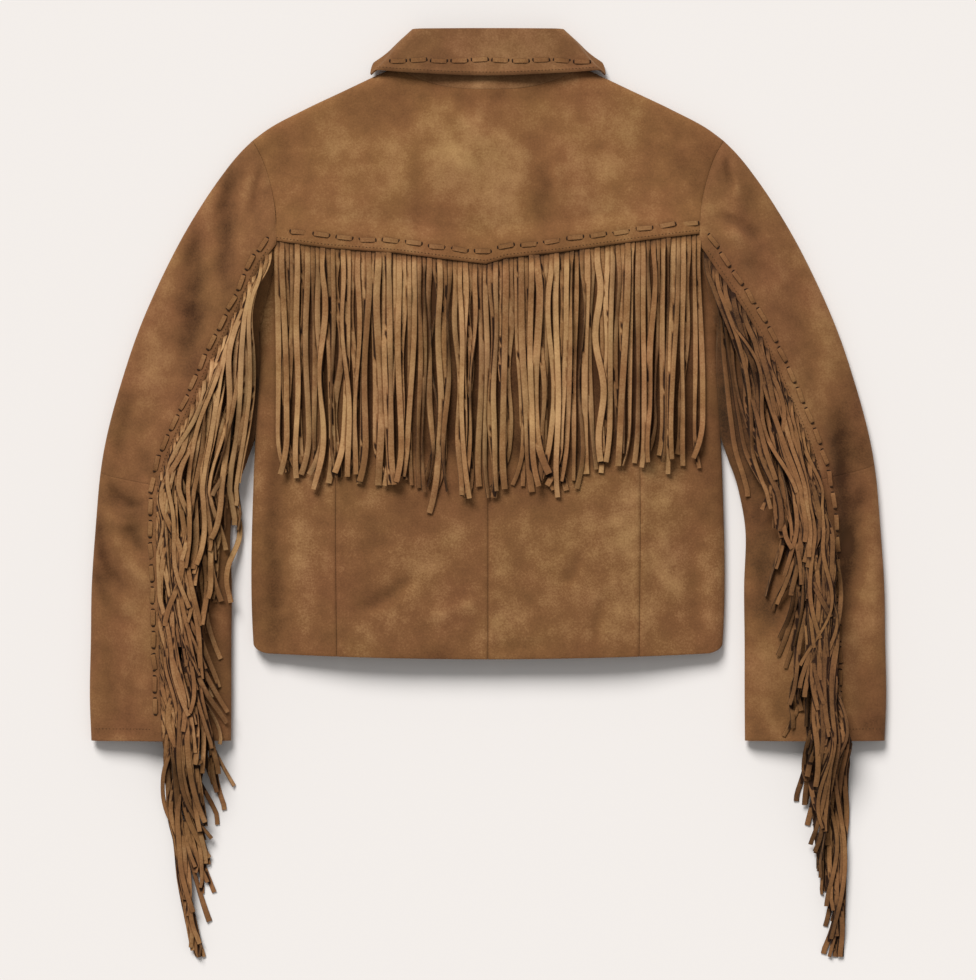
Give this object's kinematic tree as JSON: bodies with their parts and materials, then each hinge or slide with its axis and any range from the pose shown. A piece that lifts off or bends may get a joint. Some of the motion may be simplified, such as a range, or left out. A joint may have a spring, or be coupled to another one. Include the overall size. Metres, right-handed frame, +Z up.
{
  "type": "fringed suede jacket",
  "caption": "Cropped suede western jacket laid flat with its back up: pointed laced yoke, stand collar with turned-down fall, and long cut fringe on the yoke and both sleeves.",
  "frame": {"origin": "on the surface that the jacket lies on, under the middle of its outline", "axes": "+Y from the hem to the collar, +X to the wearer's right, +Z up out of the back of the jacket"},
  "size_m": [0.782, 0.913, 0.0347],
  "materials": {
    "suede_yoke": "suede",
    "suede_back": "suede",
    "suede_front": "suede",
    "suede_sleeve": "suede",
    "suede_under_sleeve": "suede",
    "suede_collar": "suede",
    "suede_fringe": "suede"
  },
  "bodies": {
    "root": {"back_yoke": "suede_yoke", "side_back_left": "suede_back", "side_back_right": "suede_back", "centre_back_left": "suede_back", "centre_back_right": "suede_back", "front_left": "suede_front", "front_right": "suede_front", "top_sleeve_upper_left": "suede_sleeve", "top_sleeve_upper_right": "suede_sleeve", "top_sleeve_lower_left": "suede_sleeve", "top_sleeve_lower_right": "suede_sleeve", "under_sleeve_left": "suede_under_sleeve", "under_sleeve_right": "suede_under_sleeve", "collar_stand": "suede_collar", "collar_fall": "suede_collar", "yoke_fringe": "suede_fringe", "sleeve_fringe_left": "suede_fringe", "sleeve_fringe_right": "suede_fringe"}
  },
  "joints": []
}
